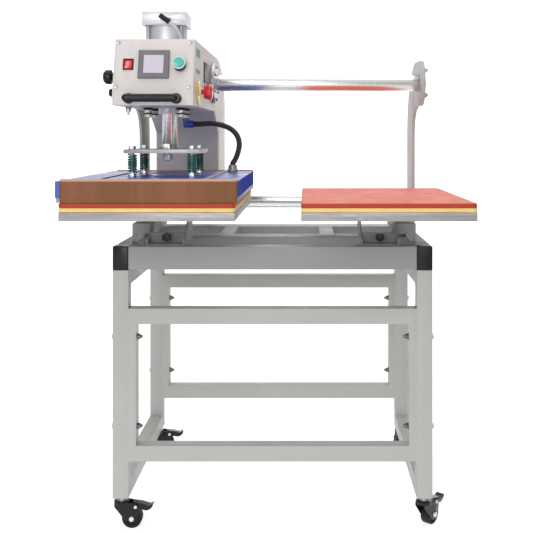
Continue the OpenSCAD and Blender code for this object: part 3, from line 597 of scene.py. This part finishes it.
def dress_cad_nodes():
    """Every CAD node gets its slot's finish and, where it has flat faces, softly broken edges."""
    slots = {s["node"]: s["material_slot"] for s in frame["record"]["subparts"]}
    for name, obj in NODES.items():
        obj.data.materials.clear()
        obj.data.materials.append(MATS[slots[name]])
        obj.data.shade_smooth()
        add_modifier(obj, "WELD", "weld", merge_threshold=0.00001)
        add_modifier(obj, "DECIMATE", "planes", decimate_type="DISSOLVE", angle_limit=math.radians(0.4))
        add_modifier(obj, "BEVEL", "edges", width=EDGE.get(name, EDGE_OTHER) * MM, segments=2,
                     limit_method="ANGLE", angle_limit=math.radians(32), harden_normals=True)


def paint_faces(node, finish, test):
    """Gives the faces of a CAD node whose centre passes the test another finish."""
    mesh = NODES[node].data
    mesh.materials.append(MATS[finish])
    index = len(mesh.materials) - 1
    for face in mesh.polygons:
        if test(face.center, face.normal):
            face.material_index = index


dress_cad_nodes()


def middle(node):
    low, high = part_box(node)
    return (low + high) / 2


def farthest(node, direction):
    """Middle of the end face of a node in a direction."""
    reach = [(v.co.dot(direction), v.co) for v in NODES[node].data.vertices]
    end = max(r for r, _ in reach)
    points = [c for r, c in reach if r > end - 0.2 * MM]
    return sum(points, Vector()) / len(points)


# The box's sides, and the way the start button moves into its sloping front
LEFT, RIGHT = (corner.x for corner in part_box("side_plates"))
PUSH = Vector(JOINTS["start_press"]["axis"])
UP_SLOPE = Vector((0, -PUSH.z, PUSH.y))
BUTTON_FACE = farthest("start_button", -PUSH)
BUTTON_REACH = 4 * MM
PLATE_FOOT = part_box("pressure_plate")[0].z
TUBE_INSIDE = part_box("side_frames")[1].x - 41.5 * MM
# Places in the frame, in metres
ELBOW_Y = 0.09
ELBOW_TOP = 1.072
WASHER_Z = (1.0729, 1.0761)
SPACER_Z = (1.0839, 1.0901)
PLUG_TOP = 1.14
HOSE_ELBOW_Z = 1.27
REGULATOR_PORT_Y = -0.28
LADDER_BOLTS_Z = (0.1, 0.66)


def paint_parts():
    """Second finishes inside a node: rubber, coloured plastic, darker or brighter metal, and painted shade and
    highlight.
    """
    stop, rods = middle("stop_button"), middle("press_rods")
    paint_faces("switch_bodies", "yellow_ring",
                lambda c, n: c.x > RIGHT + 0.5 * MM and (c - stop).yz.length < 35 * MM)
    # The stop button's chrome barrel gets white plastic: a painted highlight.
    paint_faces("switch_bodies", "white_plastic",
                lambda c, n: c.x > RIGHT + 4.5 * MM and (c - stop).yz.length < 12 * MM)
    paint_faces("air_fittings", "blue_fitting", lambda c, n: c.y > ELBOW_Y and c.z < ELBOW_TOP)
    paint_faces("air_fittings", "black_rubber",
                lambda c, n: c.z > HOSE_ELBOW_Z
                or (c.x < LEFT - 0.5 * MM and (c.z < PLUG_TOP or c.y < REGULATOR_PORT_Y)))
    paint_faces("carriage_fasteners", "black_rubber",
                lambda c, n: WASHER_Z[0] < c.z < WASHER_Z[1] or SPACER_Z[0] < c.z < SPACER_Z[1])
    paint_faces("press_fasteners", "black_rubber",
                lambda c, n: PLATE_FOOT - 4.6 * MM < c.z < PLATE_FOOT + 0.1 * MM
                and (c - rods).xy.length < 20 * MM)
    # The cover's side faces get the copy without reflection, as painted shade.
    paint_faces("heat_cover", "blue_shaded_side", lambda c, n: abs(n.x) > 0.9)
    # Painted shade: the table brackets get a darker coat.
    paint_faces("table_brackets", "bracket_shade_coat", lambda c, n: True)
    paint_faces("stand_fasteners", "dark_steel",
                lambda c, n: LADDER_BOLTS_Z[0] < c.z < LADDER_BOLTS_Z[1] and abs(c.x) < TUBE_INSIDE)


paint_parts()


def paint_caster_pins():
    """Bright axle nuts and pedal rivets on the black forks."""
    fork_half = 12.5 * MM
    for corner in CORNERS:
        for joint, radius in (("roll", 6.4), ("brake", 4.4)):
            hinge = JOINTS[f"{joint}_{corner}"]
            centre, axis = Vector(hinge["pos_m"]), Vector(hinge["axis"])

            def on_pin(c, n):
                off = c - centre
                along = off.dot(axis)
                return abs(along) > fork_half and (off - axis * along).length < radius * MM

            paint_faces(f"fork_{corner}", "bright_steel", on_pin)


paint_caster_pins()


# ---------- pads, foam and non-stick sheet ----------

def main_axis(edge):
    """Index of the axis that an edge runs along."""
    return max(range(3), key=lambda k: abs((edge.verts[1].co - edge.verts[0].co)[k]))


def slab(name, node, body, finish, round_r, wobble, seed):
    """Soft layer: a finely divided slab with rounded edges and slightly uneven sides."""
    low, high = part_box(node)
    size = high - low
    rng = random.Random(seed)
    phases = [rng.uniform(0, 6.28) for _ in range(3)]
    bm = bmesh.new()
    bmesh.ops.create_cube(bm, size=1)
    for axis, cuts in enumerate((40, 60, 4)):
        along = [e for e in bm.edges if main_axis(e) == axis]
        bmesh.ops.subdivide_edges(bm, edges=along, cuts=cuts, use_grid_fill=True)
    centre = (low + high) / 2
    # Just inside the cube's half, and just over the waves' highest sum, so that the sides only move inwards
    rim = 0.49
    crest = 2.1
    for v in bm.verts:
        p = Vector((v.co.x * size.x, v.co.y * size.y, v.co.z * size.z))
        inner = Vector([max(-s / 2 + round_r, min(s / 2 - round_r, c)) for s, c in zip(size, p)])
        off = p - inner
        if off.length > round_r:
            p = inner + off.normalized() * round_r
        edge_x = abs(v.co.x) > rim
        edge_y = abs(v.co.y) > rim
        if edge_x or edge_y:
            along = p.y if edge_x else p.x
            ripple = (math.sin(along * 21 + phases[0]) + math.sin(along * 53 + phases[1]) * 0.6
                      + math.sin(along * 130 + phases[2]) * 0.35)
            pull = wobble * (ripple - crest) / 4
            if edge_x:
                p.x += pull * (1 if v.co.x > 0 else -1)
            if edge_y:
                p.y += pull * (1 if v.co.y > 0 else -1)
        v.co = centre + p
    piece = object_from(name, bm)
    piece.data.materials.append(MATS[finish])
    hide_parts(node)
    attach(piece, body)


for k, side in enumerate(("left", "right")):
    slab(f"{side}_sponge", f"{side}_foam", "stand", "yellow_foam",
         round_r=1.2 * MM, wobble=1.2 * MM, seed=11 + k)
    slab(f"{side}_silicone", f"{side}_pad", "stand", "red_silicone",
         round_r=1.6 * MM, wobble=0.6 * MM, seed=21 + k)


def non_stick_sheet():
    """One strip of coated cloth: hooked over the cover's front edge, under the platen and up the back."""
    low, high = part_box("ptfe_sheet")
    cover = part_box("heat_cover")[1].z
    bend = 4 * MM
    hook = 6 * MM
    skin = 0.35 * MM
    front = low.y - 0.25 * MM
    back = high.y - skin
    bottom = low.z + skin
    # Hem on the cover, round its edge, down the front
    line = [(front + 16 * MM, cover + 0.6 * MM), (front + 11 * MM, cover + 1.2 * MM)]
    for a in range(100, 181, 16):
        t = math.radians(a)
        line.append((front + hook + hook * math.cos(t), high.z - hook + 5.4 * MM * math.sin(t)))
    for k in range(1, 9):
        z = high.z - hook + (bottom + bend - high.z + hook) * k / 9
        line.append((front + 0.2 * MM * math.sin(k * 0.7), z))
    # Under the platen and up the back
    for a in range(180, 271, 18):
        t = math.radians(a)
        line.append((front + bend + bend * math.cos(t), bottom + bend + bend * math.sin(t)))
    for k in range(1, 40):
        line.append((front + bend + (back - front - 2 * bend) * k / 40, bottom))
    for a in range(270, 361, 18):
        t = math.radians(a)
        line.append((back - bend + bend * math.cos(t), bottom + bend + bend * math.sin(t)))
    for k in range(1, 9):
        line.append((back, bottom + bend + (high.z - 3 * MM - bottom - bend) * k / 8))
    # The front flap ripples outwards, growing over the first part of its height
    columns = 80
    fade = 30 * MM
    flap_back = low.y + 30 * MM
    top = high.z - 8 * MM
    bm = bmesh.new()
    rows = []
    for y, z in line:
        share = max(0, min(1, (z - bottom - bend) / fade)) if z < top else 1.0
        row = []
        for k in range(columns + 1):
            x = low.x + (high.x - low.x) * k / columns
            ripple = 0.35 * MM * math.sin(x * 60 + 1.3) * math.sin(x * 23) + 0.15 * MM * math.sin(x * 170)
            out = share * abs(ripple) if y < flap_back else 0
            row.append(bm.verts.new((x, y - out, z)))
        rows.append(row)
    for a, b in zip(rows, rows[1:]):
        for k in range(columns):
            bm.faces.new((a[k], a[k + 1], b[k + 1], b[k]))
    piece = object_from("non_stick_sheet", bm)
    add_modifier(piece, "SOLIDIFY", "cloth", thickness=0.3 * MM, offset=0)
    piece.data.materials.append(MATS["brown_sheet"])
    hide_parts("ptfe_sheet")
    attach(piece, "head")


non_stick_sheet()


# ---------- springs ----------

def die_springs():
    """Four die springs of thick round wire, their turns a little closer at mid-height."""
    low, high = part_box("springs")
    inset = 11.4 * MM
    wire = 2.2 * MM
    coil = 10.1 * MM
    bm = bmesh.new()
    turns = 7.5
    steps = 40
    for x in (low.x + inset, high.x - inset):
        for y in (low.y + inset, high.y - inset):
            points = []
            count = int(turns * steps)
            for i in range(count + 1):
                t = i / count
                a = 2 * math.pi * turns * t
                ease = t + 0.03 * math.sin(2 * math.pi * t)
                z = low.z + wire + (high.z - low.z - 2 * wire) * max(0, min(1, ease))
                points.append(Vector((x + coil * math.cos(a), y + coil * math.sin(a), z)))
            sweep(bm, points, wire, 12)
    piece = object_from("die_springs", bm)
    piece.data.materials.append(MATS["green_spring"])
    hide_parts("springs")
    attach(piece, "head")


die_springs()


# ---------- small detail pieces ----------

def rounded_plate(name, centre, right, up, width, height, thick, corner, finish, body):
    """Thin plate with round corners on a given plane, its outer face towards right x up."""
    out = right.cross(up).normalized()
    bm = bmesh.new()
    outline = []
    for sx, sy, start in ((1, 1, 0), (-1, 1, 90), (-1, -1, 180), (1, -1, 270)):
        for k in range(7):
            a = math.radians(start + 15 * k)
            outline.append((sx * (width / 2 - corner) + corner * math.cos(a),
                            sy * (height / 2 - corner) + corner * math.sin(a)))
    base = [bm.verts.new(centre + right * x + up * y) for x, y in outline]
    face = bm.faces.new(base)
    made = bmesh.ops.extrude_face_region(bm, geom=[face])
    for v in made["geom"]:
        if isinstance(v, bmesh.types.BMVert):
            v.co += out * thick
    piece = object_from(name, bm, smooth=False)
    add_modifier(piece, "BEVEL", "edges", width=min(thick, corner) * 0.4, segments=2, limit_method="ANGLE",
                 angle_limit=math.radians(40), harden_normals=True)
    piece.data.materials.append(MATS[finish])
    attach(piece, body)


def panel_details():
    """Glass on the touch screen's bezel and the white rim round the start button."""
    out = -PUSH
    across = Vector((1, 0, 0))
    bezel = middle("touch_screen")
    rounded_plate("screen_glass", bezel + out * 2.5 * MM, across, UP_SLOPE, 47.4 * MM, 45.8 * MM, 0.8 * MM,
                  0.8 * MM, "screen", "carriage")
    rim = BUTTON_FACE - out * BUTTON_REACH
    bm = bmesh.new()
    steps = 64
    # Radius and height over the panel in mm
    profile = [(12.7, 0.05), (12.7, 1.6), (13.3, 2.3), (14.3, 2.3),
               (15.2, 1.4), (15.2, -2.6), (14.6, -2.6), (14.6, 0.05)]
    rings = []
    for r, h in profile:
        ring = []
        for k in range(steps):
            a = 2 * math.pi * k / steps
            ring.append(bm.verts.new(rim + (across * math.cos(a) + UP_SLOPE * math.sin(a)) * r * MM
                                     + out * h * MM))
        rings.append(ring)
    for a, b in zip(rings, rings[1:] + rings[:1]):
        for k in range(steps):
            j = (k + 1) % steps
            bm.faces.new((a[k], a[j], b[j], b[k]))
    piece = object_from("button_rim", bm)
    piece.data.materials.append(MATS["white_plastic"])
    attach(piece, "carriage")


def exhaust_muffler():
    """Black sintered muffler on the plug at the box's left side."""
    plug = [v.co for v in NODES["air_fittings"].data.vertices if v.co.x < LEFT - 5 * MM and v.co.z < PLUG_TOP]
    centre = sum(plug, Vector()) / len(plug)
    start = Vector((LEFT - 7 * MM, centre.y, centre.z))
    body_r, taper, taper_from = 10.4, 2.6, 0.7

    def radius(share, angle):
        return (body_r - taper * max(0, share - taper_from) / (1 - taper_from)) * MM

    bm = bmesh.new()
    points = [start + Vector((-k * MM, 0, 0)) for k in range(21)]
    sweep(bm, points, radius, 40)
    piece = object_from("exhaust_muffler", bm)
    add_modifier(piece, "BEVEL", "edges", width=0.8 * MM, segments=2, limit_method="ANGLE",
                 angle_limit=math.radians(50), harden_normals=True)
    piece.data.materials.append(MATS["black_rubber"])
    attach(piece, "carriage")


def side_labels():
    """Blank rating labels on the box's right side, green above and below a white one."""
    middle_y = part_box("front_panel")[0].y + 102 * MM
    for name, top, bottom, finish in (("upper_label", 1.2325, 1.211, "green_label"),
                                      ("rating_label", 1.21, 1.182, "white_label"),
                                      ("lower_label", 1.181, 1.171, "green_label")):
        centre = Vector((RIGHT, middle_y, (top + bottom) / 2))
        rounded_plate(name, centre, Vector((0, 1, 0)), Vector((0, 0, 1)), 78 * MM, (top - bottom), 0.3 * MM,
                      1.5 * MM, finish, "carriage")


panel_details()
side_labels()
exhaust_muffler()


# ---------- room and light ----------

def paper_sweep():
    """White sweep, brighter towards its back, that glows less outside the camera's view."""
    bm = bmesh.new()
    bend = 3
    outline = [(-9, 0), (3, 0)]
    for k in range(1, 13):
        a = math.radians(-90 + 7.5 * k)
        outline.append((3 + bend * math.cos(a), bend + bend * math.sin(a)))
    outline.append((6, 9))
    rows = [[bm.verts.new((x, y, z)) for y, z in outline] for x in (-14, 14)]
    for k in range(len(outline) - 1):
        bm.faces.new((rows[0][k], rows[1][k], rows[1][k + 1], rows[0][k + 1]))
    floor = object_from("floor", bm)
    f = Finish("paper", (0.45, 0.45, 0.45), 0.9, Specular_IOR_Level=0.1)
    f.bsdf.inputs["Emission Color"].default_value = (1, 1, 1, 1)
    depth = f.math("ADD", f.axis("Y"), -CAMERA_AT[1])
    lean = f.math("MULTIPLY", depth, VIEW_LEAN)
    across = f.math("SUBTRACT", f.math("ADD", f.axis("X"), lean), CAMERA_AT[0])
    outside = f.math("SUBTRACT", f.math("ABSOLUTE", across, 0), f.math("MULTIPLY", depth, VIEW_HALF))
    beside = f.span(outside, 0.0, 1.2, 1.0, 0.45)
    glow = f.span(f.axis("Y"), -0.6, 3.5, 0.72, 1.05)
    f.link(f.math("MULTIPLY", glow, beside), f.bsdf.inputs["Emission Strength"])
    f.bump(f.noise(90, 3), 0.0002, 0.2)
    floor.data.materials.append(f.done())


def sky():
    """Soft daylight from above and from the camera's side."""
    world = bpy.data.worlds.new("sky")
    bpy.context.scene.world = world
    world.use_nodes = True
    tree = world.node_tree
    place = tree.nodes.new("ShaderNodeTexCoord")
    split = tree.nodes.new("ShaderNodeSeparateXYZ")
    above = tree.nodes.new("ShaderNodeMapRange")
    facing = tree.nodes.new("ShaderNodeMapRange")
    both = tree.nodes.new("ShaderNodeMath")
    for node, numbers in ((above, (0.1, 0.9, 0.03, 0.66)), (facing, (-0.2, -0.9, 0, 0.38))):
        for key, number in zip(("From Min", "From Max", "To Min", "To Max"), numbers):
            node.inputs[key].default_value = number
    background = tree.nodes["Background"]
    background.inputs["Color"].default_value = (1, 1, 1, 1)
    tree.links.new(place.outputs["Generated"], split.inputs[0])
    tree.links.new(split.outputs["Z"], above.inputs["Value"])
    tree.links.new(split.outputs["Y"], facing.inputs["Value"])
    tree.links.new(above.outputs["Result"], both.inputs[0])
    tree.links.new(facing.outputs["Result"], both.inputs[1])
    tree.links.new(both.outputs[0], background.inputs["Strength"])


def soft_box(name, place, target, width, height, power):
    """Rectangular lamp at a place, turned to a target. Sizes in metres, power in watts."""
    data = bpy.data.lights.new(name, "AREA")
    data.shape = "RECTANGLE"
    data.size = width
    data.size_y = height
    data.energy = power
    light = bpy.data.objects.new(name, data)
    light.location = place
    light.rotation_euler = (Vector(target) - Vector(place)).to_track_quat("-Z", "Y").to_euler()
    bpy.context.scene.collection.objects.link(light)


paper_sweep()
sky()
soft_box("key", (-1.0, -3.8, 1.9), (0, 0, 0.9), 2.0, 1.8, 50)
soft_box("fill", (-0.1, -4.2, 0.9), (0, 0, 0.6), 1.6, 1.4, 10)
soft_box("top", (0, 0.2, 3.4), (0, 0, 0.8), 3.0, 2.4, 36)
bpy.context.scene.view_settings.view_transform = "Standard"
